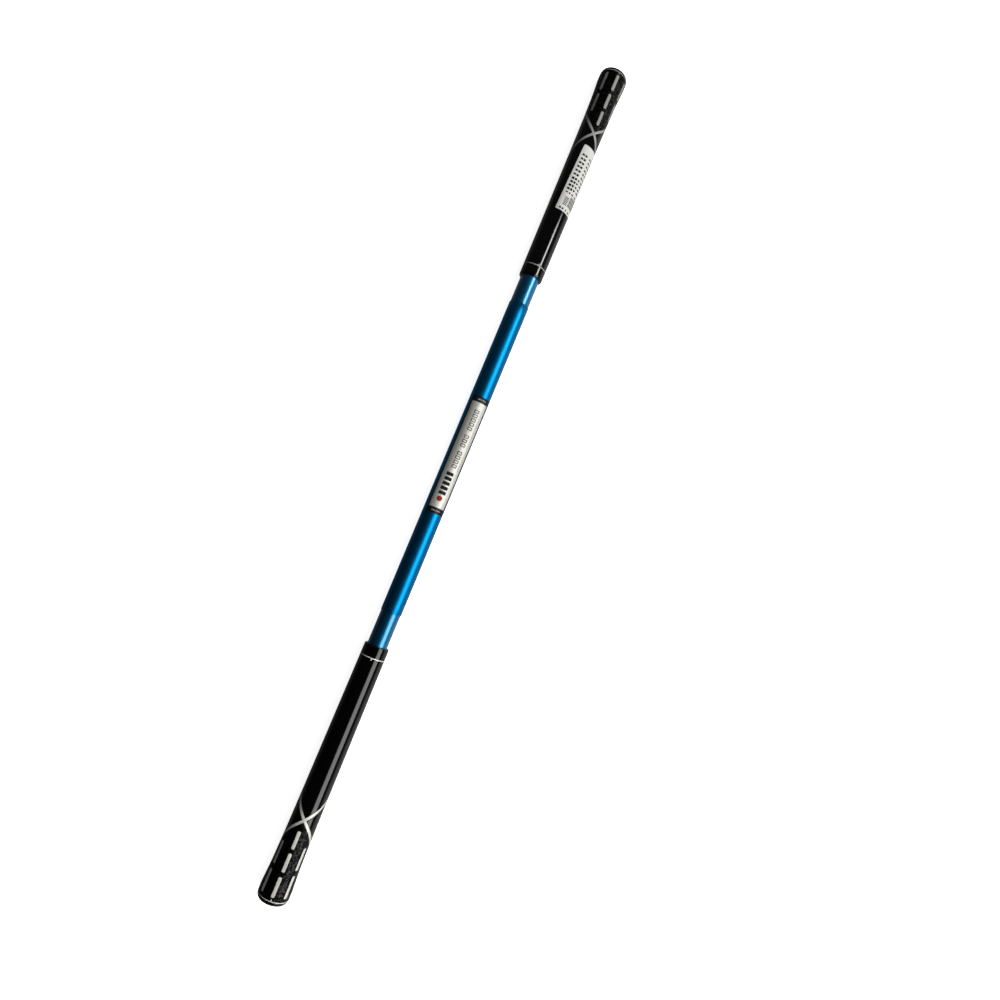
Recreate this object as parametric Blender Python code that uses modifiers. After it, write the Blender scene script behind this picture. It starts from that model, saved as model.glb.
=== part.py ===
"""A two-grip swing stick: two rubber grips on inner tubes that telescope in a centre tube.

The stick lies along X with its name label up (+Z) and its origin on the axis at mid-length.
Each inner tube is held in the centre tube by a twist lock: a screw turns with the tube, draws a
cone nut along a split expander, and the expander grips the centre tube's bore.
"""

import math

import bmesh
import bpy
from mathutils import Matrix

# Overall layout, metres along X from the middle of the stick
HALF_LENGTH = 0.4800
GRIP_MOUTH = 0.2145
TUBE_LOW_END = -0.1786
TUBE_HIGH_END = 0.1817
INNER_END = 0.0760

# Tubes
TUBE_R = 0.0112
TUBE_BORE_R = 0.0107
INNER_R = 0.0106
INNER_BORE_R = 0.0098
RIM = 0.0002

# Grip: (distance from the butt tip, outer radius) where its taper changes
GRIP_TAPER = [
    (0.0100, 0.01630),
    (0.0180, 0.01590),
    (0.0280, 0.01535),
    (0.0380, 0.01485),
    (0.0600, 0.01435),
    (0.0850, 0.01410),
    (0.1600, 0.01365),
    (0.2400, 0.01330),
]
BUTT_CORNER_R = 0.0034
BUTT_CORNER_AT = 0.0042
MOUTH_R = 0.0130
MOUTH_ROUND = 0.0010
GRIP_BORE_R = 0.0109
CAP_SEAT = 0.0032
CAP_R = 0.0100
CAP_FLAT_R = 0.0080
CAP_CHAMFER = 0.0006
SPIGOT_LENGTH = 0.0030
SPIGOT_R = 0.0092

# Layers and gaps
GAP = 0.0003
TAPE_BORE_R = 0.0107
TAPE_R = 0.0108
TAPE_FROM_MOUTH = 0.0030
TAPE_LENGTH = 0.2500

# Twist lock, from the inner tube's end towards the middle of the stick
PLUG_DEPTH = 0.0120
PLUG_R = 0.0097
PLUG_CHAMFER = 0.0008
FLANGE_T = 0.0020
POCKET_FLOOR = 0.0050
WASHER_T = 0.0008
WASHER_R = 0.0086
EXPANDER_LENGTH = 0.0180
EXPANDER_R = 0.0106
EXPANDER_BORE_R = 0.0042
EXPANDER_CHAMFER = 0.0004
EXPANDER_NECK = 0.0050
SLIT_WIDTH = 0.0012
CONE_LENGTH = 0.0130
CONE_SMALL_R = 0.0056
CONE_LARGE_R = 0.0088
CONE_OVERLAP = 0.0080
CONE_RIM = 0.0010
SCREW_R = 0.0026
SCREW_ROOT_R = 0.0022
THREAD_PITCH = 0.0020
THREAD_FROM = 0.0190
SCREW_LENGTH = 0.0360
SCREW_HEAD_R = 0.0052
SCREW_HEAD_T = 0.0026
SCREW_HOLE_R = 0.0030
CLIP_FROM_TIP = 0.0006
CLIP_T = 0.0016
CLIP_R = 0.0050

# Butt hardware
TUBE_TO_BUTT = 0.0100
STOPPER_INSET = 0.0010
STOPPER_LENGTH = 0.0100
STOPPER_R = 0.0096
STOPPER_CHAMFER = 0.0006
VENT_R = 0.0014

# Name label on the centre tube; angles go from the top towards -Y
LABEL_LOW = -0.0668
LABEL_HIGH = 0.0676
LABEL_HALF_ANGLE = math.radians(47.5)
LABEL_T = 0.0002

# Price sticker on the upper grip: a rectangle wrapped on with its long side tilted off the axis
STICKER_MIDDLE = 0.3372
STICKER_LENGTH = 0.0830
STICKER_WIDTH = 0.0300
STICKER_ANGLE = math.radians(37.5)
STICKER_TILT = math.radians(2.5)
STICKER_R = 0.0142
STICKER_T = 0.0002

ROUND = 28
SMALL_ROUND = 20
STRIP_ROWS = 12

# name: colour, roughness, metallic
FINISHES = {
    "blue_anodised_satin": ((0.008, 0.180, 0.520), 0.38, 1.0),
    "blue_anodised_gloss": ((0.012, 0.170, 0.420), 0.16, 1.0),
    "grip_rubber": ((0.012, 0.012, 0.013), 0.62, 0.0),
    "cap_rubber": ((0.016, 0.016, 0.017), 0.55, 0.0),
    "grip_tape": ((0.560, 0.520, 0.420), 0.85, 0.0),
    "silver_foil": ((0.560, 0.550, 0.500), 0.32, 0.9),
    "white_paper": ((0.840, 0.840, 0.820), 0.70, 0.0),
    "lock_nylon": ((0.700, 0.700, 0.660), 0.45, 0.0),
    "plug_plastic": ((0.030, 0.030, 0.032), 0.45, 0.0),
    "zinc_steel": ((0.620, 0.620, 0.600), 0.35, 1.0),
    "brass": ((0.700, 0.480, 0.160), 0.30, 1.0),
    "cork_foam": ((0.450, 0.330, 0.210), 0.90, 0.0),
}


def clear_scene():
    for item in list(bpy.data.objects):
        bpy.data.objects.remove(item, do_unlink=True)


def new_collection(name):
    collection = bpy.data.collections.new(name)
    bpy.context.scene.collection.children.link(collection)
    return collection


def make_material(name):
    colour, roughness, metallic = FINISHES[name]
    material = bpy.data.materials.new(name)
    material.use_nodes = True
    shader = material.node_tree.nodes["Principled BSDF"]
    shader.inputs["Base Color"].default_value = (*colour, 1.0)
    shader.inputs["Roughness"].default_value = roughness
    shader.inputs["Metallic"].default_value = metallic
    return material


def arc(centre, radius, start_deg, end_deg, count):
    """Points on an arc in the (distance, radius) plane."""
    points = []
    for index in range(count + 1):
        angle = math.radians(start_deg + (end_deg - start_deg) * index / count)
        points.append((centre[0] + radius * math.cos(angle), centre[1] + radius * math.sin(angle)))
    return points


class Side:
    """One end of the stick: sign is +1 for the upper end and -1 for the lower end."""

    def __init__(self, name, sign):
        self.name = name
        self.sign = sign

    def node(self, part):
        return f"{self.name}_{part}"


def turned(name, profile, finish, collection, sign=1, steps=ROUND, parent=None):
    """Turn a closed profile of (x, radius) points about the X axis.

    The profile runs along its outer side with x falling, then back along its bore. A profile
    for the lower end is given as for the upper end and turned end for end by sign.
    """
    mesh = bpy.data.meshes.new(name)
    shape = bmesh.new()
    points = [shape.verts.new((radius, 0.0, x)) for x, radius in profile]
    pairs = list(zip(points, points[1:]))
    if profile[0][1] > 0.0 or profile[-1][1] > 0.0:
        pairs.append((points[-1], points[0]))
    for first, second in pairs:
        shape.edges.new((first, second))
    shape.to_mesh(mesh)
    shape.free()
    item = bpy.data.objects.new(name, mesh)
    collection.objects.link(item)
    half_step = math.pi / steps
    stand_along_x = Matrix.Rotation(math.radians(90.0 * sign), 4, "Y")
    item.matrix_world = stand_along_x @ Matrix.Rotation(half_step, 4, "Z")
    screw = item.modifiers.new("turn", "SCREW")
    screw.axis = "Z"
    screw.steps = steps
    screw.render_steps = steps
    screw.angle = 2.0 * math.pi
    screw.use_merge_vertices = True
    screw.merge_threshold = 0.00001
    finish_part(item, finish, parent)
    return item


def finish_part(item, finish, parent):
    item.data.materials.append(MATERIALS[finish])
    if parent is not None:
        world = item.matrix_world.copy()
        item.parent = parent
        item.matrix_world = world


def tube_profile(low, high, radius, bore, edge=0.0):
    """A plain tube from low to high with chamfered rims, outer side first."""
    return [
        (high, radius - edge),
        (high - edge, radius),
        (low + edge, radius),
        (low, radius - edge),
        (low, bore),
        (high, bore),
    ]


def cutter_box(name, centre, size, collection):
    bpy.ops.mesh.primitive_cube_add(size=1.0, location=centre)
    item = bpy.context.active_object
    item.name = name
    item.scale = size
    bpy.ops.object.transform_apply(location=False, rotation=False, scale=True)
    for owner in list(item.users_collection):
        owner.objects.unlink(item)
    collection.objects.link(item)
    item.hide_render = True
    item.display_type = "WIRE"
    return item


def cut(item, cutter):
    boolean = item.modifiers.new("cut", "BOOLEAN")
    boolean.operation = "DIFFERENCE"
    boolean.solver = "EXACT"
    boolean.object = cutter


def wrapped_patch(name, middle, size, angle, tilt, radius, thickness, finish, collection, parent=None):
    """A thin rectangle of size (length, width) wrapped round the stick.

    Its middle lies at middle on X and at angle from the top. Its long side leans off the X axis
    by tilt.
    """
    length, width = size
    mesh = bpy.data.meshes.new(name)
    shape = bmesh.new()
    columns = []
    for index in range(STRIP_ROWS + 1):
        across = width * (index / STRIP_ROWS - 0.5)
        column = []
        for along in (-length / 2.0, length / 2.0):
            x = middle + along * math.cos(tilt) - across * math.sin(tilt)
            arc_length = along * math.sin(tilt) + across * math.cos(tilt)
            turn = angle + arc_length / radius
            column.append(shape.verts.new((x, -radius * math.sin(turn), radius * math.cos(turn))))
        columns.append(column)
    for first, second in zip(columns, columns[1:]):
        shape.faces.new((first[0], second[0], second[1], first[1]))
    shape.to_mesh(mesh)
    shape.free()
    item = bpy.data.objects.new(name, mesh)
    collection.objects.link(item)
    solid = item.modifiers.new("thickness", "SOLIDIFY")
    solid.thickness = thickness
    solid.offset = 1.0
    finish_part(item, finish, parent)
    return item


def grip_profile():
    """The grip's section: rounded butt corner, taper to the mouth, plain bore."""
    seat = HALF_LENGTH - CAP_SEAT
    corner = (HALF_LENGTH - BUTT_CORNER_AT, GRIP_TAPER[0][1] - BUTT_CORNER_R - GAP)
    points = [(HALF_LENGTH - CAP_CHAMFER - GAP, CAP_R + GAP)]
    points += arc(corner, BUTT_CORNER_R, 20.0, 80.0, 4)
    points += [(HALF_LENGTH - distance, radius) for distance, radius in GRIP_TAPER]
    mouth_corner = (GRIP_MOUTH + MOUTH_ROUND, MOUTH_R - MOUTH_ROUND)
    points += arc(mouth_corner, MOUTH_ROUND, 90.0, 180.0, 3)
    points += [(GRIP_MOUTH, GRIP_BORE_R), (seat, GRIP_BORE_R), (seat, CAP_R + GAP)]
    return points


def cap_profile():
    """A butt cap with a flat end, a spigot in the grip's bore and a vent hole through it."""
    seat = HALF_LENGTH - CAP_SEAT + GAP
    return [
        (HALF_LENGTH, VENT_R),
        (HALF_LENGTH, CAP_FLAT_R),
        (HALF_LENGTH - CAP_CHAMFER, CAP_R),
        (seat, CAP_R),
        (seat, SPIGOT_R),
        (seat - SPIGOT_LENGTH, SPIGOT_R),
        (seat - SPIGOT_LENGTH, VENT_R),
    ]


def screw_profile(head_end, tip):
    """The lock screw: a cheese head in the plug, a plain shank, and a ridged thread."""
    shank = head_end - SCREW_HEAD_T
    points = [(head_end, 0.0), (head_end, SCREW_HEAD_R), (shank, SCREW_HEAD_R), (shank, SCREW_ROOT_R)]
    x = shank - THREAD_FROM
    while x - THREAD_PITCH > tip:
        points.append((x, SCREW_ROOT_R))
        points.append((x - THREAD_PITCH / 2.0, SCREW_R))
        x -= THREAD_PITCH
    points += [(x, SCREW_ROOT_R), (tip, SCREW_ROOT_R), (tip, 0.0)]
    return points


def build_twist_lock(side, slide, spin, cone_slide, parts, cutters):
    """The pieces between the inner tube's end and the middle of the stick."""
    flange = INNER_END - GAP
    flange_end = flange - FLANGE_T
    plug_end = INNER_END + PLUG_DEPTH
    pocket_floor = flange_end + POCKET_FLOOR
    pocket_r = SCREW_HEAD_R + GAP
    plug = [
        (plug_end, PLUG_R - PLUG_CHAMFER),
        (plug_end - PLUG_CHAMFER, PLUG_R),
        (flange, PLUG_R),
        (flange, INNER_R),
        (flange_end, INNER_R),
        (flange_end, SCREW_HOLE_R),
        (pocket_floor, SCREW_HOLE_R),
        (pocket_floor, pocket_r),
        (plug_end, pocket_r),
    ]
    turned(side.node("lock_plug"), plug, "plug_plastic", parts, side.sign, parent=spin)

    head_end = pocket_floor + GAP + SCREW_HEAD_T
    tip = head_end - SCREW_HEAD_T - SCREW_LENGTH
    screw = screw_profile(head_end, tip)
    turned(side.node("lock_screw"), screw, "zinc_steel", parts, side.sign, SMALL_ROUND, spin)

    washer_high = flange_end - GAP
    washer_low = washer_high - WASHER_T
    washer = tube_profile(washer_low, washer_high, WASHER_R, SCREW_HOLE_R)
    turned(side.node("lock_washer"), washer, "zinc_steel", parts, side.sign, SMALL_ROUND, spin)

    expander_high = washer_low - GAP
    expander_low = expander_high - EXPANDER_LENGTH
    slope = (CONE_LARGE_R - CONE_SMALL_R) / CONE_LENGTH
    cone_high = expander_low + CONE_OVERLAP
    seat_r = CONE_SMALL_R + GAP
    expander = [
        (expander_high, EXPANDER_R - EXPANDER_CHAMFER),
        (expander_high - EXPANDER_CHAMFER, EXPANDER_R),
        (expander_low + EXPANDER_CHAMFER, EXPANDER_R),
        (expander_low, EXPANDER_R - EXPANDER_CHAMFER),
        (expander_low, seat_r + slope * CONE_OVERLAP),
        (cone_high + GAP, seat_r),
        (cone_high + GAP, EXPANDER_BORE_R),
        (expander_high, EXPANDER_BORE_R),
    ]
    sleeve = turned(side.node("expander"), expander, "lock_nylon", parts, side.sign, parent=slide)
    slit_high = expander_high - EXPANDER_NECK
    slit_length = 2.0 * (slit_high - expander_low)
    slit_middle = (side.sign * (slit_high - slit_length / 2.0), 0.0, 0.0)
    across = 4.0 * EXPANDER_R
    upright = cutter_box(side.node("slit_a"), slit_middle, (slit_length, SLIT_WIDTH, across), cutters)
    level = cutter_box(side.node("slit_b"), slit_middle, (slit_length, across, SLIT_WIDTH), cutters)
    cut(sleeve, upright)
    cut(sleeve, level)

    cone_low = cone_high - CONE_LENGTH
    cone = [
        (cone_high, CONE_SMALL_R),
        (cone_low + CONE_RIM, CONE_LARGE_R - slope * CONE_RIM),
        (cone_low, CONE_LARGE_R - CONE_RIM),
        (cone_low, SCREW_HOLE_R),
        (cone_high, SCREW_HOLE_R),
    ]
    turned(side.node("cone_nut"), cone, "brass", parts, side.sign, parent=cone_slide)

    clip_low = tip + CLIP_FROM_TIP
    clip = tube_profile(clip_low, clip_low + CLIP_T, CLIP_R, SCREW_HOLE_R)
    turned(side.node("stop_clip"), clip, "zinc_steel", parts, side.sign, SMALL_ROUND, spin)


def build_grip_end(side, spin, parts):
    """The inner tube and everything that turns with it."""
    tube_butt = HALF_LENGTH - TUBE_TO_BUTT
    inner = tube_profile(INNER_END, tube_butt, INNER_R, INNER_BORE_R, RIM)
    turned(side.node("inner_tube"), inner, "blue_anodised_gloss", parts, side.sign, parent=spin)
    tape_low = GRIP_MOUTH + TAPE_FROM_MOUTH
    tape = tube_profile(tape_low, tape_low + TAPE_LENGTH, TAPE_R, TAPE_BORE_R)
    turned(side.node("grip_tape"), tape, "grip_tape", parts, side.sign, parent=spin)
    turned(side.node("grip"), grip_profile(), "grip_rubber", parts, side.sign, parent=spin)
    turned(side.node("butt_cap"), cap_profile(), "cap_rubber", parts, side.sign, parent=spin)
    stopper_high = tube_butt - STOPPER_INSET
    stopper_low = stopper_high - STOPPER_LENGTH
    stopper = tube_profile(stopper_low, stopper_high, STOPPER_R, VENT_R, STOPPER_CHAMFER)
    turned(side.node("tube_stopper"), stopper, "cork_foam", parts, side.sign, parent=spin)


def joint_empty(name, parent, collection):
    """An empty on the stick's axis that a joint's moving pieces are parented to."""
    empty = bpy.data.objects.new(name, None)
    collection.objects.link(empty)
    empty.parent = parent
    return empty


def build():
    parts = new_collection("swing_stick")
    cutters = new_collection("cutters")

    tube = tube_profile(TUBE_LOW_END, TUBE_HIGH_END, TUBE_R, TUBE_BORE_R, RIM)
    turned("centre_tube", tube, "blue_anodised_satin", parts)
    label_r = TUBE_R + GAP
    label_size = (LABEL_HIGH - LABEL_LOW, 2.0 * LABEL_HALF_ANGLE * label_r)
    label_middle = (LABEL_HIGH + LABEL_LOW) / 2.0
    wrapped_patch("name_label", label_middle, label_size, 0.0, 0.0, label_r, LABEL_T, "silver_foil", parts)

    for side in (Side("upper", 1), Side("lower", -1)):
        slide = joint_empty(side.node("extend_axis"), None, parts)
        spin = joint_empty(side.node("twist_axis"), slide, parts)
        cone_slide = joint_empty(side.node("cone_axis"), slide, parts)
        build_grip_end(side, spin, parts)
        build_twist_lock(side, slide, spin, cone_slide, parts, cutters)
        if side.name == "upper":
            wrapped_patch("price_sticker", STICKER_MIDDLE, (STICKER_LENGTH, STICKER_WIDTH), STICKER_ANGLE,
                          STICKER_TILT, STICKER_R, STICKER_T, "white_paper", parts, spin)


clear_scene()
MATERIALS = {name: make_material(name) for name in FINISHES}
build()
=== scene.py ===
import math

import bmesh
import bpy
import numpy as np
from mathutils import Matrix, Vector


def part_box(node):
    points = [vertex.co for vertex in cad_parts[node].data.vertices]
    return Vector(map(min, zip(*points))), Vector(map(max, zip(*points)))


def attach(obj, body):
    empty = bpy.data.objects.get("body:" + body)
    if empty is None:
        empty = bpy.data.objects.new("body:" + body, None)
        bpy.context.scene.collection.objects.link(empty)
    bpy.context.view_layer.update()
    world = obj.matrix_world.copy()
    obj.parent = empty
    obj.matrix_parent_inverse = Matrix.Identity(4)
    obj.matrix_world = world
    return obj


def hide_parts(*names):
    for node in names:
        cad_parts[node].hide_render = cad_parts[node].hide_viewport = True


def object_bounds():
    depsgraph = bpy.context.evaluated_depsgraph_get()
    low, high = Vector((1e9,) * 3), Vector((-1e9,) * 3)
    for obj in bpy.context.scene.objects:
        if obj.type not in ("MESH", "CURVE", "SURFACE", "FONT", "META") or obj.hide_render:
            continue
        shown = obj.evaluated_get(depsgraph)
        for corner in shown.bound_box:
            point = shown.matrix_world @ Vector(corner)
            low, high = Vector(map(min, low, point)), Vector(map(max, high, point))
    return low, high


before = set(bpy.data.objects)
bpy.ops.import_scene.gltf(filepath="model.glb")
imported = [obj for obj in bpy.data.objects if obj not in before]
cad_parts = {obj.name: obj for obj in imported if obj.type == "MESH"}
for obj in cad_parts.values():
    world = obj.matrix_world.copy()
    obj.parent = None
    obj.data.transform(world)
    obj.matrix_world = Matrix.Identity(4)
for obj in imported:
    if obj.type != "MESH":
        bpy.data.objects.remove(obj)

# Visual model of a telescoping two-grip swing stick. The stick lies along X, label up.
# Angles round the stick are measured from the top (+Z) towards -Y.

CAD_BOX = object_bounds()
MM = 0.001

# ---------------------------------------------------------------- driving sizes, from the frame
BUTT_X = CAD_BOX[1].x
MOUTH_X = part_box("upper_grip")[0].x
TUBE_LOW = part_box("centre_tube")[0].x
TUBE_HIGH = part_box("centre_tube")[1].x
INNER_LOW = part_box("upper_inner_tube")[0].x
INNER_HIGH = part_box("upper_inner_tube")[1].x
LABEL_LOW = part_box("name_label")[0].x
LABEL_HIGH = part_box("name_label")[1].x
GRIP_LENGTH = BUTT_X - MOUTH_X
FLOOR_Z = CAD_BOX[0].z

# ---------------------------------------------------------------- sizes that the CAD shares
TUBE_R = 11.2 * MM
TUBE_BORE_R = 10.7 * MM
INNER_R = 10.6 * MM
INNER_BORE_R = 9.8 * MM
GRIP_BORE_R = 10.9 * MM
CAP_R = 10.0 * MM
CAP_SEAT = 3.2 * MM
SPIGOT_R = 9.2 * MM
SPIGOT_LENGTH = 3.0 * MM
VENT_R = 1.4 * MM
GAP = 0.3 * MM

# ---------------------------------------------------------------- sizes of the visual model only
ROUND_STEPS = 160
CAP_STEPS = 96
GRIP_STEPS = 208
LINE_STEPS = 420
RIM_EDGE = {"centre": 0.18 * MM, "inner": 0.2 * MM}
TUBE_STATION = 12.0 * MM

# Butt cap: ridges across its dish, and the round rim as depth from the butt against radius
DISH_SPAN = (2.2 * MM, 7.6 * MM)
DISH_DEPTH = 0.35 * MM
DISH_STATIONS = 12
RIDGES = 6
RIDGE_HEIGHT = 0.05 * MM
CAP_RIM = [
    (0.12 * MM, 7.9 * MM),
    (0.0, 8.2 * MM),
    (0.0, 8.7 * MM),
    (0.12 * MM, 9.2 * MM),
    (0.4 * MM, 9.7 * MM),
    (0.9 * MM, CAP_R),
]

# Grip: distance from the butt tip against outer radius, joined by a smooth curve
GRIP_TAPER = [
    (8.0 * MM, 16.15 * MM),
    (12.0 * MM, 16.15 * MM),
    (18.0 * MM, 15.85 * MM),
    (28.0 * MM, 15.25 * MM),
    (38.0 * MM, 14.80 * MM),
    (60.0 * MM, 14.35 * MM),
    (85.0 * MM, 14.08 * MM),
    (115.0 * MM, 13.85 * MM),
    (160.0 * MM, 13.62 * MM),
    (210.0 * MM, 13.38 * MM),
    (265.5 * MM, 13.15 * MM),
]
BUTT_CORNER = (6.0 * MM, 4.0 * MM)
MOUTH_LIP = (2.2 * MM, 1.3 * MM)

# Stations along the grip: fine where its lines are, coarse between them
LINED_END = 112.0 * MM
PLAIN_SPAN = (113.0 * MM, 248.0 * MM)
RINGED_START = 248.5 * MM
LINED_STEP = 0.5 * MM
RINGED_STEP = 0.4 * MM

# Grip graphics: distances from the butt tip, and rows spaced round from the front and back lines
GROOVE_DEPTH = 0.32 * MM
GROOVE_SOFT = 0.35 * MM
PAINT_SINK = 0.07 * MM
WAVE_AT = 84.8 * MM
WAVE_REACH = 28.4 * MM
WAVE_POINTED = 0.995
WAVE_WIDTH = 2.7 * MM
RING_WIDTH = 1.05 * MM
MOUTH_RING_AT = 252.9 * MM
BUTT_RING_AT = 5.1 * MM
BUTT_RING_WIDTH = 0.9 * MM
TICK = (2.2 * MM, 1.2 * MM)
TICK_CORNER = 0.4 * MM
DASH_WIDTH = 3.4 * MM
DASH_CORNER = 1.2 * MM
ROW_SPACING = 13.7 * MM
LONG_ROW = [(8.9 * MM, 28.6 * MM), (33.4 * MM, 51.8 * MM), (56.1 * MM, 73.8 * MM)]
SHORT_ROW = [(9.1 * MM, 31.3 * MM), (36.2 * MM, 58.6 * MM)]
ROWS = [(0.0, LONG_ROW), (ROW_SPACING, SHORT_ROW), (-ROW_SPACING, SHORT_ROW)]
GRAPHICS_TURN = {"upper": math.radians(3.4), "lower": math.radians(-10.5)}
FACES = (0.0, math.pi)

# Sticker on the upper grip
STICKER_MIDDLE = 337.2 * MM
STICKER_SIZE = (82.5 * MM, 30.0 * MM)
STICKER_TURN = math.radians(38.3)
STICKER_TILT = math.radians(2.5)

# Heights above the surface: the underside and top of foil, paper and ink
SHEET_LOW = 0.01 * MM
INK_LOW = 0.05 * MM
FOIL_TOP = 0.13 * MM
FOIL_INK_TOP = 0.16 * MM
PAPER_TOP = 0.12 * MM
PAPER_INK_TOP = 0.14 * MM
INK_CORNER = 0.2 * MM

LABEL_HALF_ANGLE = math.radians(47.5)
LABEL_BAND = 6.6 * MM
# dark edging along the +Y and the -Y side of the foil
LABEL_EDGING = (1.2 * MM, 2.5 * MM)

# Generic marks on the label: middle of the first one (along, across), size, pitch and count
BARS = ((-43.6 * MM, -0.7 * MM), (3.7 * MM, 8.0 * MM), 5.4 * MM, 5)
GREY_ROW = ((-16.0 * MM, 6.1 * MM), (1.5 * MM, 0.6 * MM), 2.6 * MM, 24)
BAR_CORNER = 0.5 * MM
SPOT_AT = (-50.2 * MM, -1.2 * MM)
SPOT_SIZE = (5.4 * MM, 6.0 * MM)
SPOT_CORNER = 2.4 * MM
# light marks across each dark band: size, pitch, count and middle
BAND_MARKS = ((1.7 * MM, 0.5 * MM), 1.5 * MM, 7, 0.5 * MM)
BAND_MARK_LOW = 0.1 * MM
BAND_MARK_RISE = 0.02 * MM

# Placeholder print: groups of equal little frames, as start along the label and count
FRAME_SIZE = (3.6 * MM, 5.4 * MM)
FRAME_PITCH = 5.0 * MM
FRAME_MIDDLE = 0.1 * MM
FRAME_STROKE = 0.85 * MM
FRAME_GROUPS = [(-12.8 * MM, 4), (11.4 * MM, 3), (30.6 * MM, 5)]

# ---------------------------------------------------------------- camera, floor and light
CAMERA_AT = Vector((-0.1193, 0.1390, 0.7400))
CAMERA_AIM = Vector((-0.02433, -0.06345, -0.0001))
CAMERA_ROLL = math.radians(87.866)
CAMERA_LENS = 25.53

WHITE = (1.0, 1.0, 1.0)
KEY_COLOUR = (1.0, 0.99, 0.965)
KEY_DISTANCE = 1.15
# name, angle from the top towards -Y, middle along the stick, size along and across, power
SOFTBOX = ("softbox", 36.5, -0.285, (1.93, 0.68), 16.5)
STRIP = ("strip", 34.5, 0.775, (0.23, 0.26), 2.65)
# seen by matt surfaces only: angle, distance, size, power
FILL = (25.0, 2.4, 2.6, 20.0)
FLOOR_SIZE = 14.0
FLOOR_DROP = 0.05 * MM
FLOOR_COLOUR = (0.90, 0.90, 0.90, 1.0)
FLOOR_GLOW = 0.90
# Directions: angle from the top towards -Y (radians), or lengthwise part, against added strength
WORLD_DIM = 0.012
WORLD_RIGHT = (1.20, 1.50, 0.52)
WORLD_LEFT = (-1.55, -2.3, 0.08)
WORLD_END = (-0.1, 0.45, 0.035)
WORLD_FILL = 0.05


def make_camera():
    data = bpy.data.cameras.new("camera")
    data.sensor_width = 36.0
    data.lens = CAMERA_LENS
    camera = bpy.data.objects.new("camera", data)
    bpy.context.scene.collection.objects.link(camera)
    facing = (CAMERA_AIM - CAMERA_AT).to_track_quat("-Z", "Y").to_matrix().to_4x4()
    camera.matrix_world = Matrix.Translation(CAMERA_AT) @ facing @ Matrix.Rotation(CAMERA_ROLL, 4, "Z")
    bpy.context.scene.camera = camera


def area_light(name, place, aim, size, power, colour, glossy):
    data = bpy.data.lights.new(name, "AREA")
    data.shape = "RECTANGLE"
    data.size, data.size_y = size
    data.energy = power
    data.color = colour
    lamp = bpy.data.objects.new(name, data)
    facing = (aim - place).to_track_quat("-Z", "Y").to_matrix().to_4x4()
    lamp.matrix_world = Matrix.Translation(place) @ facing
    lamp.visible_glossy = glossy
    bpy.context.scene.collection.objects.link(lamp)


def away_from_stick(degrees, distance, along=0.0):
    """A point at an angle from the top towards -Y and a distance from the stick's axis."""
    turn = math.radians(degrees)
    return Vector((along, -math.sin(turn) * distance, math.cos(turn) * distance))


def make_floor():
    """A wide white floor that glows a little, so that it stays pale under the stick."""
    bpy.ops.mesh.primitive_plane_add(size=FLOOR_SIZE, location=(0.0, 0.0, FLOOR_Z - FLOOR_DROP))
    floor = bpy.context.active_object
    floor.name = "floor"
    material, _, _, shader = new_material("floor")
    shader.inputs["Base Color"].default_value = FLOOR_COLOUR
    shader.inputs["Roughness"].default_value = 0.9
    shader.inputs["Specular IOR Level"].default_value = 0.1
    shader.inputs["Emission Color"].default_value = (*WHITE, 1.0)
    shader.inputs["Emission Strength"].default_value = FLOOR_GLOW
    floor.data.materials.append(material)
    floor.visible_glossy = False
    floor.visible_diffuse = False


def make_stage():
    """Floor, wide softbox, slim brighter strip beyond it, fill for matt surfaces, and the world."""
    make_floor()
    for name, degrees, along, size, power in (SOFTBOX, STRIP):
        place = away_from_stick(degrees, KEY_DISTANCE, along)
        area_light(name, place, Vector((along, 0.0, 0.0)), size, power, KEY_COLOUR, True)
    degrees, distance, width, power = FILL
    place = away_from_stick(degrees, distance)
    area_light("fill", place, Vector((0.0, 0.0, 0.0)), (width, width), power, WHITE, False)
    make_world()

    view = bpy.context.scene.view_settings
    view.view_transform = "Standard"
    view.look = "None"


def world_ramp(nodes, links, value, low, high, strength):
    """Strength that rises smoothly from none at low to all of it at high."""
    ramp = nodes.new("ShaderNodeMapRange")
    ramp.interpolation_type = "SMOOTHSTEP"
    ramp.inputs["From Min"].default_value = low
    ramp.inputs["From Max"].default_value = high
    ramp.inputs["To Max"].default_value = strength
    links.new(value, ramp.inputs["Value"])
    return ramp.outputs["Result"]


def reflected_world(nodes, links):
    """Dim all round; brighter low on the -Y side, a little below the +Y side and towards +X."""
    split = nodes.new("ShaderNodeSeparateXYZ")
    links.new(nodes.new("ShaderNodeTexCoord").outputs["Generated"], split.inputs[0])
    away = math_node(nodes, links, "MULTIPLY", split.outputs["Y"], -1.0)
    turn = math_node(nodes, links, "ARCTAN2", away, split.outputs["Z"])
    total = WORLD_DIM
    for value, ramp in ((turn, WORLD_RIGHT), (turn, WORLD_LEFT), (split.outputs["X"], WORLD_END)):
        total = math_node(nodes, links, "ADD", world_ramp(nodes, links, value, *ramp), total)
    return total


def make_world():
    """Even fill for matt surfaces, soft bands for reflections, and plain white behind the floor."""
    world = bpy.data.worlds.new("studio")
    world.use_nodes = True
    bpy.context.scene.world = world
    nodes, links = world.node_tree.nodes, world.node_tree.links
    background = nodes["Background"]
    background.inputs["Color"].default_value = (*WHITE, 1.0)
    reflected = reflected_world(nodes, links)
    path = nodes.new("ShaderNodeLightPath")
    strength = WORLD_FILL
    for kind, value in (("Is Glossy Ray", reflected), ("Is Camera Ray", 1.0)):
        mix = nodes.new("ShaderNodeMix")
        mix.data_type = "FLOAT"
        links.new(path.outputs[kind], mix.inputs["Factor"])
        set_or_link(links, mix.inputs["A"], strength)
        set_or_link(links, mix.inputs["B"], value)
        strength = mix.outputs["Result"]
    links.new(strength, background.inputs["Strength"])


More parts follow.
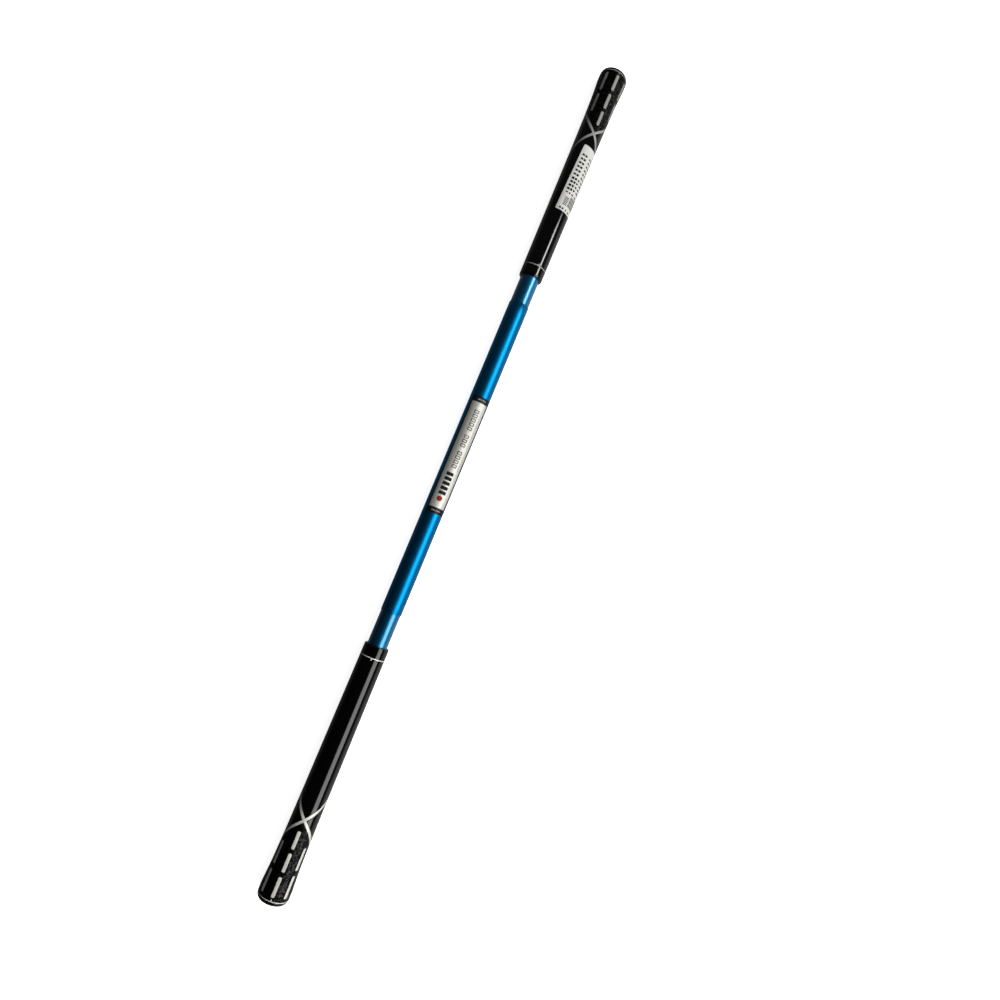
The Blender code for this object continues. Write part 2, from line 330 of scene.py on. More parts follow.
# ---------------------------------------------------------------- material helpers
def new_material(name):
    material = bpy.data.materials.new(name)
    material.use_nodes = True
    nodes, links = material.node_tree.nodes, material.node_tree.links
    return material, nodes, links, nodes["Principled BSDF"]


def noise(nodes, links, coordinate, scale, detail=3.0, stretch=(1.0, 1.0, 1.0)):
    """A noise texture in object space, stretched along the axes if asked."""
    mapping = nodes.new("ShaderNodeMapping")
    mapping.inputs["Scale"].default_value = stretch
    links.new(coordinate, mapping.inputs["Vector"])
    texture = nodes.new("ShaderNodeTexNoise")
    texture.inputs["Scale"].default_value = scale
    texture.inputs["Detail"].default_value = detail
    links.new(mapping.outputs["Vector"], texture.inputs["Vector"])
    return texture.outputs["Fac"]


def spread(nodes, links, value, low, high, from_low=0.3, from_high=0.7):
    """Map a 0 to 1 value onto low to high."""
    node = nodes.new("ShaderNodeMapRange")
    node.inputs["From Min"].default_value = from_low
    node.inputs["From Max"].default_value = from_high
    node.inputs["To Min"].default_value = low
    node.inputs["To Max"].default_value = high
    links.new(value, node.inputs["Value"])
    return node.outputs["Result"]


def two_tone(nodes, links, value, first, second):
    node = nodes.new("ShaderNodeMix")
    node.data_type = "RGBA"
    node.inputs["A"].default_value = (*first, 1.0)
    node.inputs["B"].default_value = (*second, 1.0)
    links.new(value, node.inputs["Factor"])
    return node.outputs["Result"]


def add_bump(nodes, links, shader, height, strength, distance):
    bump = nodes.new("ShaderNodeBump")
    bump.inputs["Strength"].default_value = strength
    bump.inputs["Distance"].default_value = distance
    links.new(height, bump.inputs["Height"])
    links.new(bump.outputs["Normal"], shader.inputs["Normal"])


def set_or_link(links, socket, value):
    """Put a plain number on a socket, or link another node's output to it."""
    if isinstance(value, (int, float)):
        socket.default_value = value
    else:
        links.new(value, socket)


def math_node(nodes, links, operation, first, second):
    node = nodes.new("ShaderNodeMath")
    node.operation = operation
    set_or_link(links, node.inputs[0], first)
    set_or_link(links, node.inputs[1], second)
    return node.outputs[0]


def object_space(nodes):
    return nodes.new("ShaderNodeTexCoord").outputs["Object"]


# ---------------------------------------------------------------- materials
def blue_satin():
    """Bead-blasted blue anodising: fine grain, and faint lengthwise draw lines."""
    material, nodes, links, shader = new_material("blue_satin_anodised")
    shader.inputs["Metallic"].default_value = 1.0
    where = object_space(nodes)
    patches = noise(nodes, links, where, 14.0, 2.0, (0.5, 1.0, 1.0))
    colour = two_tone(nodes, links, patches, (0.0020, 0.188, 0.455), (0.0034, 0.232, 0.535))
    links.new(colour, shader.inputs["Base Color"])
    lines = noise(nodes, links, where, 700.0, 2.0, (0.01, 1.0, 1.0))
    links.new(spread(nodes, links, lines, 0.35, 0.42), shader.inputs["Roughness"])
    grain = noise(nodes, links, where, 2600.0, 2.0)
    add_bump(nodes, links, shader, grain, 0.10, 0.00005)
    return material


def blue_gloss():
    """Bright blue anodising, with sliding marks along the tube."""
    material, nodes, links, shader = new_material("blue_bright_anodised")
    shader.inputs["Metallic"].default_value = 1.0
    where = object_space(nodes)
    patches = noise(nodes, links, where, 18.0, 2.0, (0.4, 1.0, 1.0))
    colour = two_tone(nodes, links, patches, (0.005, 0.195, 0.42), (0.009, 0.235, 0.49))
    links.new(colour, shader.inputs["Base Color"])
    shader.inputs["Coat Weight"].default_value = 1.0
    shader.inputs["Coat IOR"].default_value = 1.56
    shader.inputs["Coat Roughness"].default_value = 0.17
    marks = noise(nodes, links, where, 900.0, 3.0, (0.012, 1.0, 1.0))
    links.new(spread(nodes, links, marks, 0.34, 0.44), shader.inputs["Roughness"])
    add_bump(nodes, links, shader, marks, 0.05, 0.00003)
    return material


def grip_rubber():
    """Glossy moulded rubber, dimpled where the mesh attribute "tread" is 1, with a faint bloom."""
    material, nodes, links, shader = new_material("grip_rubber")
    where = object_space(nodes)
    bloom = noise(nodes, links, where, 60.0, 4.0)
    colour = two_tone(nodes, links, bloom, (0.0005, 0.0005, 0.0005), (0.0011, 0.0011, 0.0010))
    links.new(colour, shader.inputs["Base Color"])
    tread = nodes.new("ShaderNodeAttribute")
    tread.attribute_name = "tread"
    tread = tread.outputs["Fac"]
    smears = noise(nodes, links, where, 260.0, 4.0, (0.25, 1.0, 1.0))
    gloss = spread(nodes, links, smears, 0.08, 0.12)
    gloss = math_node(nodes, links, "ADD", gloss, math_node(nodes, links, "MULTIPLY", tread, 0.20))
    links.new(gloss, shader.inputs["Roughness"])
    glints = spread(nodes, links, noise(nodes, links, where, 480.0, 2.0), 0.0, 0.40, 0.46, 0.62)
    glints = math_node(nodes, links, "MULTIPLY", glints, tread)
    level = math_node(nodes, links, "ADD", spread(nodes, links, tread, 0.54, 0.04, 0.0, 1.0), glints)
    links.new(level, shader.inputs["Specular IOR Level"])
    dimples = nodes.new("ShaderNodeTexVoronoi")
    dimples.inputs["Scale"].default_value = 720.0
    links.new(where, dimples.inputs["Vector"])
    pits = math_node(nodes, links, "MULTIPLY", dimples.outputs["Distance"], tread)
    pores = noise(nodes, links, where, 1300.0, 3.0)
    pores = math_node(nodes, links, "MULTIPLY", pores, 0.05)
    add_bump(nodes, links, shader, math_node(nodes, links, "ADD", pits, pores), 0.55, 0.0005)
    return material


def cap_rubber():
    material, nodes, links, shader = new_material("cap_rubber")
    where = object_space(nodes)
    bloom = noise(nodes, links, where, 90.0, 4.0)
    colour = two_tone(nodes, links, bloom, (0.0020, 0.0020, 0.0021), (0.0045, 0.0044, 0.0042))
    links.new(colour, shader.inputs["Base Color"])
    links.new(spread(nodes, links, bloom, 0.32, 0.46), shader.inputs["Roughness"])
    pores = noise(nodes, links, where, 1500.0, 4.0)
    add_bump(nodes, links, shader, pores, 0.25, 0.00012)
    return material


def paint(name, dark, light, metallic, rough, level=0.5):
    """Paint or ink with a little unevenness in colour and gloss."""
    material, nodes, links, shader = new_material(name)
    shader.inputs["Metallic"].default_value = metallic
    shader.inputs["Specular IOR Level"].default_value = level
    where = object_space(nodes)
    mottle = noise(nodes, links, where, 420.0, 4.0)
    links.new(two_tone(nodes, links, mottle, dark, light), shader.inputs["Base Color"])
    links.new(spread(nodes, links, mottle, rough - 0.06, rough + 0.08), shader.inputs["Roughness"])
    flakes = noise(nodes, links, where, 3200.0, 2.0)
    add_bump(nodes, links, shader, flakes, 0.12, 0.00004)
    return material


def foil():
    """Silver foil film: brushed along the stick, slightly crinkled where it was pressed on."""
    material, nodes, links, shader = new_material("silver_foil")
    shader.inputs["Metallic"].default_value = 0.62
    where = object_space(nodes)
    brush = noise(nodes, links, where, 900.0, 3.0, (0.02, 1.0, 1.0))
    crinkle = noise(nodes, links, where, 90.0, 3.0, (0.6, 1.0, 1.0))
    tint = two_tone(nodes, links, crinkle, (0.57, 0.567, 0.520), (0.69, 0.687, 0.645))
    links.new(tint, shader.inputs["Base Color"])
    links.new(spread(nodes, links, brush, 0.50, 0.60), shader.inputs["Roughness"])
    add_bump(nodes, links, shader, crinkle, 0.18, 0.0002)
    return material


def paper():
    material, nodes, links, shader = new_material("sticker_paper")
    where = object_space(nodes)
    clouds = noise(nodes, links, where, 70.0, 5.0)
    colour = two_tone(nodes, links, clouds, (0.62, 0.62, 0.59), (0.70, 0.70, 0.67))
    links.new(colour, shader.inputs["Base Color"])
    fibres = noise(nodes, links, where, 1400.0, 5.0, (0.4, 1.0, 1.0))
    links.new(spread(nodes, links, fibres, 0.55, 0.75), shader.inputs["Roughness"])
    add_bump(nodes, links, shader, fibres, 0.15, 0.00005)
    return material


def plain_part(name, dark, light, metallic, rough, scale=300.0, stretch=(1.0, 1.0, 1.0)):
    """Material of a piece inside the tubes: machining or moulding marks on its own colour."""
    material, nodes, links, shader = new_material(name)
    shader.inputs["Metallic"].default_value = metallic
    where = object_space(nodes)
    marks = noise(nodes, links, where, scale, 4.0, stretch)
    links.new(two_tone(nodes, links, marks, dark, light), shader.inputs["Base Color"])
    links.new(spread(nodes, links, marks, rough - 0.07, rough + 0.09), shader.inputs["Roughness"])
    add_bump(nodes, links, shader, marks, 0.2, 0.00006)
    return material


# ---------------------------------------------------------------- mesh helpers
def finish_piece(name, vertices, faces, material, body, replaces=(), sharp=40.0):
    """Make a closed mesh object, shade it smooth with sharp corners, and ride it on a body."""
    mesh = bpy.data.meshes.new(name)
    mesh.from_pydata(vertices, [], faces)
    shape = bmesh.new()
    shape.from_mesh(mesh)
    bmesh.ops.recalc_face_normals(shape, faces=shape.faces)
    shape.to_mesh(mesh)
    shape.free()
    mesh.shade_smooth()
    mesh.set_sharp_from_angle(angle=math.radians(sharp))
    mesh.materials.append(material)
    item = bpy.data.objects.new(name, mesh)
    bpy.context.scene.collection.objects.link(item)
    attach(item, body)
    if replaces:
        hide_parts(*replaces)
    return item


def ring_faces(rings, segments, start=0, loop=False):
    """Quads between each ring of vertices and the next; loop joins the last ring to the first."""
    faces = []
    count = rings if loop else rings - 1
    for ring in range(count):
        low = start + ring * segments
        high = start + ((ring + 1) % rings) * segments
        for index in range(segments):
            after = (index + 1) % segments
            faces.append((low + index, low + after, high + after, high + index))
    return faces


def around(x, radius, angle):
    """Points at a distance along the stick, a radius and an angle from the top towards -Y."""
    return np.stack(np.broadcast_arrays(x, -radius * np.sin(angle), radius * np.cos(angle)), axis=-1)


def turned(name, profile, segments, material, body, replaces=(), sharp=40.0):
    """Turn a closed loop of (x, radius) points about the stick's axis."""
    turn = np.linspace(0.0, 2.0 * math.pi, segments, endpoint=False)
    rows = [around(x, radius, turn) for x, radius in profile]
    vertices = np.concatenate(rows).tolist()
    faces = ring_faces(len(profile), segments, loop=True)
    return finish_piece(name, vertices, faces, material, body, replaces, sharp)


def tube_profile(low, high, radius, bore, edge, step):
    """A tube's section with rounded rims, and stations close enough for smooth shading."""
    count = max(2, round((high - low) / step))
    outer = [(high - edge - (high - low - 2.0 * edge) * i / count, radius) for i in range(count + 1)]
    inner = [(low + edge + (high - low - 2.0 * edge) * i / count, bore) for i in range(count + 1)]
    rim = edge * 0.7
    low_rim = [(low, radius - rim), (low, bore + rim)]
    high_rim = [(high, bore + rim), (high, radius - rim)]
    return outer + low_rim + inner + high_rim


class Plates:
    """Thin plates and bands wrapped on a surface, gathered into one mesh.

    place(along, across, height) turns arrays of flat positions into points in space.
    """

    def __init__(self, place):
        self.place = place
        self.vertices = []
        self.faces = []

    def grid(self, along, across, low, high, bevel):
        """A closed plate over a grid of flat positions, from height low to height high."""
        rows, columns = along.shape
        top = np.full(along.shape, high)
        top[0, :] = top[-1, :] = high - bevel
        top[:, 0] = top[:, -1] = high - bevel
        start = len(self.vertices)
        self.vertices += self.place(along, across, top).reshape(-1, 3).tolist()
        floor = np.full(along.shape, low)
        self.vertices += self.place(along, across, floor).reshape(-1, 3).tolist()
        under = start + rows * columns
        for row in range(rows - 1):
            for column in range(columns - 1):
                corner = row * columns + column
                quad = (corner, corner + 1, corner + columns + 1, corner + columns)
                self.faces.append(tuple(start + index for index in quad))
                self.faces.append(tuple(under + index for index in reversed(quad)))
        edge = list(range(columns))
        edge += [row * columns + columns - 1 for row in range(1, rows)]
        edge += [(rows - 1) * columns + column for column in range(columns - 2, -1, -1)]
        edge += [row * columns for row in range(rows - 2, 0, -1)]
        for first, second in zip(edge, edge[1:] + edge[:1]):
            self.faces.append((start + first, under + first, under + second, start + second))

    def plate(self, middle, size, corner, low, high, bevel=0.03 * MM, step=0.7 * MM):
        """A plate of size (along, across) with round corners, its middle at (along, across)."""
        half_along, half_across = size[0] / 2.0, size[1] / 2.0
        columns = max(4, round(size[0] / step)) + 1
        rows = max(6, round(size[1] / step)) + 1
        across = half_across * -np.cos(np.linspace(0.0, math.pi, rows))
        past = np.clip(np.abs(across) - (half_across - corner), 0.0, corner)
        reach = half_along - corner + np.sqrt(np.maximum(corner ** 2 - past ** 2, 0.0))
        fraction = -np.cos(np.linspace(0.0, math.pi, columns))
        along = middle[0] + reach[:, None] * fraction[None, :]
        self.grid(along, middle[1] + np.repeat(across[:, None], columns, axis=1), low, high, bevel)

    def loop_band(self, along, across, width, low, high, crown):
        """A closed band round the stick that follows the line along(across)."""
        slope_along = np.roll(along, -1) - np.roll(along, 1)
        slope_across = 2.0 * np.gradient(across)
        length = np.hypot(slope_along, slope_across)
        side_along, side_across = slope_across / length, -slope_along / length
        section = [(-1.0, low), (-1.0, high - crown), (-0.7, high), (0.0, high + crown * 0.3),
                   (0.7, high), (1.0, high - crown), (1.0, low)]
        start = len(self.vertices)
        for offset, height in section:
            shift = offset * width / 2.0
            points = self.place(along + side_along * shift, across + side_across * shift, height)
            self.vertices += points.tolist()
        self.faces += ring_faces(len(section), len(along), start, loop=True)

    def finish(self, name, material, body, replaces=(), sharp=50.0):
        return finish_piece(name, self.vertices, self.faces, material, body, replaces, sharp)


# ---------------------------------------------------------------- the grips
def smooth_through(points, where):
    """A monotone cubic curve through (position, value) points."""
    x = np.array([point[0] for point in points])
    y = np.array([point[1] for point in points])
    steps = np.diff(y) / np.diff(x)
    slopes = np.concatenate([[steps[0]], np.zeros(len(x) - 2), [steps[-1]]])
    for i in range(1, len(x) - 1):
        if steps[i - 1] * steps[i] > 0.0:
            slopes[i] = 2.0 / (1.0 / steps[i - 1] + 1.0 / steps[i])
    index = np.clip(np.searchsorted(x, where) - 1, 0, len(x) - 2)
    width = x[index + 1] - x[index]
    t = np.clip((where - x[index]) / width, 0.0, 1.0)
    return ((2 * t ** 3 - 3 * t ** 2 + 1) * y[index] + (t ** 3 - 2 * t ** 2 + t) * width * slopes[index]
            + (3 * t ** 2 - 2 * t ** 3) * y[index + 1] + (t ** 3 - t ** 2) * width * slopes[index + 1])


def grip_radius(distance):
    """Outer radius of the plain grip at a distance from its butt tip."""
    distance = np.asarray(distance, dtype=float)
    radius = smooth_through(GRIP_TAPER, distance)
    length, drop = BUTT_CORNER
    corner = np.clip((length - distance) / length, 0.0, 1.0)
    radius = radius - drop * (1.0 - np.sqrt(np.maximum(1.0 - corner ** 2, 0.0)))
    length, drop = MOUTH_LIP
    lip = np.clip((distance - (GRIP_LENGTH - length)) / length, 0.0, 1.0)
    return radius - drop * (1.0 - np.sqrt(np.maximum(1.0 - lip ** 2, 0.0)))


def wave_shape(turn):
    """One wave per turn, straightest at its crossings and steepest just before its blunt peaks."""
    return np.tan(np.arcsin(WAVE_POINTED * np.sin(turn)) / 2.0)


def rounded_box(along, across, half_along, half_across, corner):
    """Signed distance from a rectangle with round corners, negative inside."""
    u = np.abs(along) - (half_along - corner)
    v = np.abs(across) - (half_across - corner)
    outside = np.hypot(np.maximum(u, 0.0), np.maximum(v, 0.0))
    return outside + np.minimum(np.maximum(u, v), 0.0) - corner


def wrap(turn):
    return (turn + math.pi) % (2.0 * math.pi) - math.pi


def painted_boxes():
    """Each dash and tick: middle along, offset from the face line, size along and across, corner."""
    for offset, row in ROWS:
        for low, high in row:
            yield (low + high) / 2.0, offset, high - low, DASH_WIDTH, DASH_CORNER
    yield MOUTH_RING_AT - TICK[0] / 2.0, 0.0, TICK[0], TICK[1], TICK_CORNER
    yield BUTT_RING_AT + TICK[0] / 2.0, 0.0, TICK[0], TICK[1], TICK_CORNER


def distance_to_graphics(distance, turn, radius):
    """How far each point of a grip is from the edge of its moulded lines, negative inside."""
    small_turn = 0.01
    nearest = np.full(np.broadcast(distance, turn).shape, 1.0)
    for sign in (1.0, -1.0):
        line = WAVE_AT + sign * WAVE_REACH * wave_shape(turn)
        ahead = WAVE_AT + sign * WAVE_REACH * wave_shape(turn + small_turn)
        slope = (ahead - line) / (small_turn * radius)
        away = np.abs(distance - line) / np.sqrt(1.0 + slope ** 2)
        nearest = np.minimum(nearest, away - WAVE_WIDTH / 2.0)
    nearest = np.minimum(nearest, np.abs(distance - MOUTH_RING_AT) - RING_WIDTH / 2.0)
    nearest = np.minimum(nearest, np.abs(distance - BUTT_RING_AT) - BUTT_RING_WIDTH / 2.0)
    for face in FACES:
        across = wrap(turn - face) * radius
        for along, offset, length, width, corner in painted_boxes():
            box = rounded_box(distance - along, across - offset, length / 2.0, width / 2.0, corner)
            nearest = np.minimum(nearest, box)
    return nearest


def grip_stations():
    """Distances from the butt tip: close together where the moulded lines are."""
    corner = BUTT_CORNER[0] * (1.0 - np.cos(np.linspace(0.05, 0.5 * math.pi, 15)))
    lined = np.arange(BUTT_CORNER[0] + LINED_STEP, LINED_END, LINED_STEP)
    plain = np.linspace(*PLAIN_SPAN, 60)
    ringed = np.arange(RINGED_START, GRIP_LENGTH - MOUTH_LIP[0], RINGED_STEP)
    lip = GRIP_LENGTH - MOUTH_LIP[0] * (1.0 - np.sin(np.linspace(0.0, 0.5 * math.pi, 9)))
    return np.concatenate([corner, lined, plain, ringed, lip])


def grip_place(side, sign, face=0.0):
    """Map (distance from the butt tip, distance round, height) on a grip to points in space."""
    start = GRAPHICS_TURN[side] + face

    def place(along, across, height):
        radius = grip_radius(along)
        turn = start + across / radius
        return around(sign * (BUTT_X - along), radius + height, turn)

    return place


def grip_bore():
    """Distance from the butt tip against radius, from the mouth back to the seat of the cap."""
    return [
        (GRIP_LENGTH, GRIP_BORE_R + 0.4 * MM),
        (GRIP_LENGTH - 0.5 * MM, GRIP_BORE_R),
        (CAP_SEAT, GRIP_BORE_R),
        (CAP_SEAT, CAP_R + GAP),
        (0.6 * MM, CAP_R + GAP),
        (0.15 * MM, CAP_R + 0.6 * MM),
    ]


def mark_tread(mesh, stations, turn, count):
    """Store 1 in the attribute "tread" on the butt side of the waves, and 0 elsewhere."""
    dimpled_end = WAVE_AT - WAVE_REACH * np.abs(wave_shape(turn))
    dimpled = (stations[:, None] < dimpled_end[None, :]) & (stations[:, None] > BUTT_RING_AT)
    tread = np.zeros(count, dtype=np.float32)
    tread[:dimpled.size] = dimpled.ravel()
    mesh.attributes.new("tread", "FLOAT", "POINT").data.foreach_set("value", tread)


def make_grip(side, sign):
    """A moulded grip with grooves for its lines, hollow, turned as the photo shows it."""
    turn = np.linspace(0.0, 2.0 * math.pi, GRIP_STEPS, endpoint=False)
    at = turn + GRAPHICS_TURN[side]
    stations = grip_stations()
    radius = grip_radius(stations)
    away = distance_to_graphics(stations[:, None], turn[None, :], radius[:, None])
    inside = np.clip((GROOVE_SOFT / 2.0 - away) / GROOVE_SOFT, 0.0, 1.0)
    sunk = radius[:, None] - GROOVE_DEPTH * inside * inside * (3.0 - 2.0 * inside)
    rows = [around(sign * (BUTT_X - distance), r, at) for distance, r in zip(stations, sunk)]
    rows += [around(sign * (BUTT_X - distance), r, at) for distance, r in grip_bore()]
    vertices = np.concatenate(rows).tolist()
    faces = ring_faces(len(rows), GRIP_STEPS, loop=True)
    body = finish_piece(f"{side}_grip_body", vertices, faces, LOOKS["grip_rubber"], f"{side}_end",
                        [f"{side}_grip"], 60.0)
    mark_tread(body.data, stations, turn, len(vertices))


def make_grip_inlay(side, sign):
    """The silver paint in the moulded lines: waves, rings with ticks, and rows of dashes."""
    inlay = Plates(grip_place(side, sign))
    low, high = -GROOVE_DEPTH - 0.05 * MM, -PAINT_SINK
    turn = np.linspace(0.0, 2.0 * math.pi, LINE_STEPS, endpoint=False)
    for direction in (1.0, -1.0):
        line = WAVE_AT + direction * WAVE_REACH * wave_shape(turn)
        inlay.loop_band(line, turn * grip_radius(line), WAVE_WIDTH, low, high, 0.05 * MM)
    for at, width in ((MOUTH_RING_AT, RING_WIDTH), (BUTT_RING_AT, BUTT_RING_WIDTH)):
        line = np.full(LINE_STEPS, at)
        inlay.loop_band(line, turn * grip_radius(line), width, low, high, 0.04 * MM)
    for face in FACES:
        inlay.place = grip_place(side, sign, face)
        for along, offset, length, width, corner in painted_boxes():
            inlay.plate((along, offset), (length, width), corner, low, high, 0.05 * MM)
    # the upper grip takes the darker copy of the silver paint, which carries painted shade
    inlay.finish(f"{side}_grip_inlay", LOOKS[f"{side}_silver"], f"{side}_end")


def cap_dish():
    """Depth from the butt against radius across the cap's dish, with fine turned ridges."""
    inner, outer = DISH_SPAN
    for index in range(DISH_STATIONS + 1):
        fraction = index / DISH_STATIONS
        ridge = RIDGE_HEIGHT * (1.0 - math.cos(2.0 * math.pi * RIDGES * fraction)) / 2.0
        yield DISH_DEPTH + ridge, inner + (outer - inner) * fraction


def make_butt_cap(side, sign):
    """A soft domed cap with a shallow dish, fine turned ridges and a vent hole."""
    seat = CAP_SEAT - GAP
    vent = [(seat + SPIGOT_LENGTH, VENT_R), (0.9 * MM, VENT_R), (0.5 * MM, VENT_R + 0.35 * MM)]
    spigot = [(seat, CAP_R), (seat, SPIGOT_R), (seat + SPIGOT_LENGTH, SPIGOT_R)]
    outline = vent + list(cap_dish()) + CAP_RIM + spigot
    profile = [(sign * (BUTT_X - distance), radius) for distance, radius in outline]
    turned(f"{side}_butt_cap_dish", profile, CAP_STEPS, LOOKS["cap_rubber"], f"{side}_end",
           [f"{side}_butt_cap"], 50.0)


# ---------------------------------------------------------------- the tubes
def make_tubes():
    edge = RIM_EDGE["centre"]
    profile = tube_profile(TUBE_LOW, TUBE_HIGH, TUBE_R, TUBE_BORE_R, edge, TUBE_STATION)
    turned("centre_tube_skin", profile, ROUND_STEPS, LOOKS["blue_satin"], "centre",
           ["centre_tube"])
    for side, sign in SIDES:
        ends = sorted((sign * INNER_LOW, sign * INNER_HIGH))
        profile = tube_profile(*ends, INNER_R, INNER_BORE_R, RIM_EDGE["inner"], TUBE_STATION)
        turned(f"{side}_inner_tube_skin", profile, ROUND_STEPS, LOOKS["blue_gloss"], f"{side}_end",
               [f"{side}_inner_tube"])


# ---------------------------------------------------------------- label and sticker
def frame_strokes(at):
    """The four strokes of one placeholder frame."""
    width, height = FRAME_SIZE
    for side in (-0.5, 0.5):
        yield at + side * (width - FRAME_STROKE), FRAME_MIDDLE, (FRAME_STROKE, height)
        yield at, FRAME_MIDDLE + side * (height - FRAME_STROKE), (width, FRAME_STROKE)


def label_place(along, across, height):
    """A point of the label from its place along the stick, round the tube and above it."""
    return around(along, TUBE_R + height, across / TUBE_R)


def label_ink(plates, at, size, corner=INK_CORNER):
    plates.plate(at, size, corner, INK_LOW, FOIL_INK_TOP)


def label_row(plates, row, corner=INK_CORNER):
    """A row of equal marks along the label."""
    (first, across), size, pitch, count = row
    for index in range(count):
        label_ink(plates, (first + index * pitch, across), size, corner)


def band_middles():
    return LABEL_LOW + LABEL_BAND / 2.0, LABEL_HIGH - LABEL_BAND / 2.0


def make_label_edging(dark, length, width):
    """The dark band at each end of the foil, and the narrow edging along its sides."""
    middle = (LABEL_HIGH + LABEL_LOW) / 2.0
    left, right = LABEL_EDGING
    for at in band_middles():
        band = (LABEL_BAND, width + left + right)
        dark.plate((at, (right - left) / 2.0), band, 0.4 * MM, INK_LOW, FOIL_INK_TOP)
    for across, edging in ((-(width + left) / 2.0, left), ((width + right) / 2.0, right)):
        side = (length, edging)
        dark.plate((middle, across), side, 0.3 * MM, SHEET_LOW, FOIL_TOP, 0.03 * MM, 1.2 * MM)


def make_label():
    """A silver foil label with dark edging and generic marks in place of its print."""
    width = 2.0 * LABEL_HALF_ANGLE * TUBE_R
    length = LABEL_HIGH - LABEL_LOW
    middle = (LABEL_HIGH + LABEL_LOW) / 2.0
    base = Plates(label_place)
    base.plate((middle, 0.0), (length, width), 0.5 * MM, SHEET_LOW, FOIL_TOP, 0.04 * MM, 1.2 * MM)
    base.finish("label_foil", LOOKS["foil"], "centre", ["name_label"])

    dark = Plates(label_place)
    make_label_edging(dark, length, width)
    label_row(dark, BARS, BAR_CORNER)
    for start, count in FRAME_GROUPS:
        for index in range(count):
            for at, across, size in frame_strokes(start + index * FRAME_PITCH):
                label_ink(dark, (at, across), size)
    dark.finish("label_dark_print", LOOKS["black_ink"], "centre")

    red = Plates(label_place)
    label_ink(red, SPOT_AT, SPOT_SIZE, SPOT_CORNER)
    red.finish("label_red_print", LOOKS["red_ink"], "centre")

    grey = Plates(label_place)
    label_row(grey, GREY_ROW)
    grey.finish("label_grey_print", LOOKS["grey_ink"], "centre")
    make_band_marks()


def make_band_marks():
    """Small light marks in a row across each dark band."""
    size, pitch, count, middle = BAND_MARKS
    top = FOIL_INK_TOP + BAND_MARK_RISE
    light = Plates(label_place)
    for at in band_middles():
        for index in range(count):
            across = (index - count // 2) * pitch + middle
            light.plate((at, across), size, INK_CORNER, BAND_MARK_LOW, top)
    light.finish("label_light_print", LOOKS["light_ink"], "centre")


def sticker_place(along, across, height):
    """A point of the sticker, turned a little askew on the upper grip."""
    x = STICKER_MIDDLE + along * math.cos(STICKER_TILT) - across * math.sin(STICKER_TILT)
    arc_length = along * math.sin(STICKER_TILT) + across * math.cos(STICKER_TILT)
    middle_radius = float(grip_radius(BUTT_X - STICKER_MIDDLE))
    radius = grip_radius(BUTT_X - x)
    return around(x, radius + height, STICKER_TURN + arc_length / middle_radius)


def make_sticker():
    """A white paper sticker on the upper grip, printed with generic marks."""
    sheet = Plates(sticker_place)
    sheet.plate((0.0, 0.0), STICKER_SIZE, 1.2 * MM, SHEET_LOW, PAPER_TOP, 0.03 * MM, 1.0 * MM)
    sheet.finish("sticker_paper_sheet", LOOKS["paper"], "upper_end", ["price_sticker"])

    ink = Plates(sticker_place)
    for along, across, length, width in sticker_marks():
        size = (length * MM, width * MM)
        ink.plate((along * MM, across * MM), size, INK_CORNER, INK_LOW, PAPER_INK_TOP)
    ink.finish("sticker_print", LOOKS["sticker_ink"], "upper_end")


def sticker_marks():
    """Generic marks in mm: middle along and across from the sticker's middle, length, width."""
    for across, width in ((-10.1, 2.7), (-6.8, 2.3), (-2.4, 1.5), (2.0, 2.0)):
        yield -38.5, across, 2.2, width
    # two barcode-like blocks near the mouth end, the outer one denser
    for index in range(6):
        yield -33.4 + index * 1.75, -6.9, 0.9, 5.2
    for index in range(9):
        yield -33.2 + index * 1.45, 3.2, 0.75 + 0.35 * (index % 3 == 1), 13.0
    for across, width in ((-10.4, 2.6), (-6.8, 2.2), (-2.9, 2.8), (2.4, 3.4), (7.2, 2.8)):
        yield -18.7, across, 1.7, width
    # four columns of bold blocks
    for column in range(4):
        along = -14.4 + column * 4.5
        yield along, -10.6, 3.0, 3.2
        yield along + 0.4, -7.0, 2.9, 2.6
        yield along + 0.9, -3.4 + 0.6 * (column % 2), 2.1, 2.6
        yield along + 1.3, 2.6, 2.0, 4.4
        yield along + 1.5, 8.4, 1.8, 3.4
    # six columns of paired blocks, and a fainter row beyond them
    for column in range(6):
        along = 4.4 + column * 5.0
        yield along, -10.9, 2.5, 3.0
        yield along + 0.2, -7.3, 2.6, 3.0
        yield along + 0.5, -0.8, 2.2, 2.8
        yield along + 0.8, 3.2, 2.0, 3.0
        yield along + 1.0, 7.6, 1.8, 2.8


# ---------------------------------------------------------------- pieces that stay as the CAD made them
def dress_inner_pieces():
    dress = {
        "grip_tape": "tape", "tube_stopper": "foam", "lock_plug": "black_plastic", "lock_screw": "zinc",
        "lock_washer": "zinc", "stop_clip": "zinc", "expander": "nylon", "cone_nut": "brass",
    }
    for side, _ in SIDES:
        for part, look in dress.items():
            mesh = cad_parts[f"{side}_{part}"].data
            mesh.materials.clear()
            mesh.materials.append(LOOKS[look])


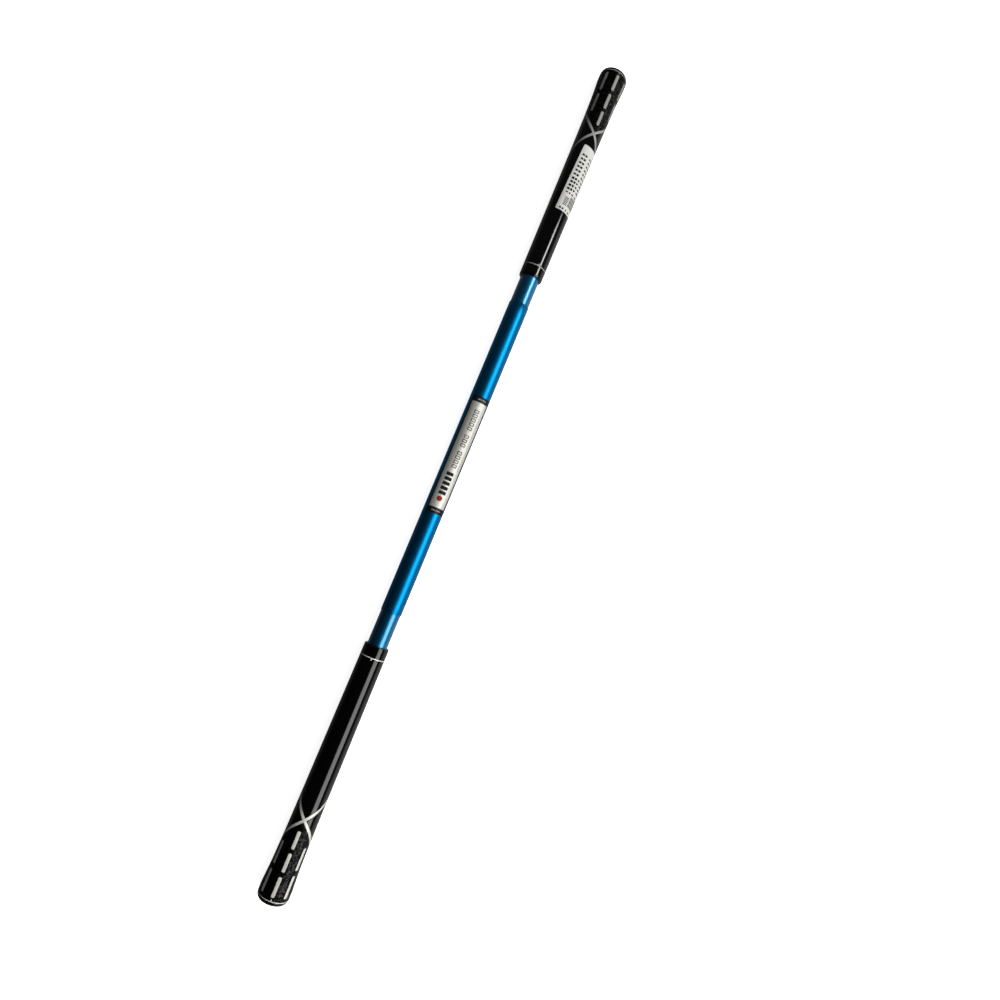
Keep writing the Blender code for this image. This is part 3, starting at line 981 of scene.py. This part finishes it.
SIDES = (("upper", 1.0), ("lower", -1.0))
LOOKS = {
    "blue_satin": blue_satin(),
    "blue_gloss": blue_gloss(),
    "grip_rubber": grip_rubber(),
    "cap_rubber": cap_rubber(),
    "lower_silver": paint("silver_paint", (0.70, 0.69, 0.63), (0.83, 0.82, 0.76), 0.40, 0.50),
    # the upper grip's silver is a darker copy of the same silver paint: painted shade for the weaker light
    # at the upper end
    "upper_silver": paint("silver_paint_painted_shade", (0.33, 0.33, 0.315), (0.41, 0.41, 0.39), 0.40, 0.55),
    "foil": foil(),
    "black_ink": paint("black_ink", (0.003, 0.003, 0.0035), (0.009, 0.009, 0.010), 0.0, 0.45, 0.2),
    "red_ink": paint("red_ink", (0.22, 0.008, 0.011), (0.33, 0.015, 0.018), 0.0, 0.42, 0.3),
    "grey_ink": paint("grey_ink", (0.24, 0.24, 0.25), (0.34, 0.34, 0.34), 0.1, 0.42),
    "light_ink": paint("light_ink", (0.50, 0.50, 0.49), (0.62, 0.62, 0.60), 0.1, 0.42),
    "paper": paper(),
    "sticker_ink": paint("sticker_ink", (0.008, 0.008, 0.009), (0.026, 0.026, 0.026), 0.0, 0.6, 0.15),
    "tape": plain_part("grip_tape", (0.50, 0.46, 0.36), (0.62, 0.58, 0.47), 0.0, 0.8, 900.0),
    "foam": plain_part("stopper_foam", (0.38, 0.27, 0.17), (0.52, 0.39, 0.26), 0.0, 0.9, 1200.0),
    "black_plastic": plain_part("plug_plastic", (0.022, 0.022, 0.024), (0.038, 0.038, 0.040), 0.0, 0.42),
    "zinc": plain_part("zinc_steel", (0.52, 0.52, 0.50), (0.68, 0.68, 0.66), 1.0, 0.34, 700.0,
                       (1.0, 0.1, 0.1)),
    "nylon": plain_part("lock_nylon", (0.66, 0.66, 0.61), (0.76, 0.76, 0.72), 0.0, 0.45),
    "brass": plain_part("brass", (0.62, 0.42, 0.14), (0.76, 0.53, 0.19), 1.0, 0.30, 700.0, (1.0, 0.1, 0.1)),
}

make_camera()
make_stage()
make_tubes()
for side_name, side_sign in SIDES:
    make_grip(side_name, side_sign)
    make_grip_inlay(side_name, side_sign)
    make_butt_cap(side_name, side_sign)
make_label()
make_sticker()
dress_inner_pieces()
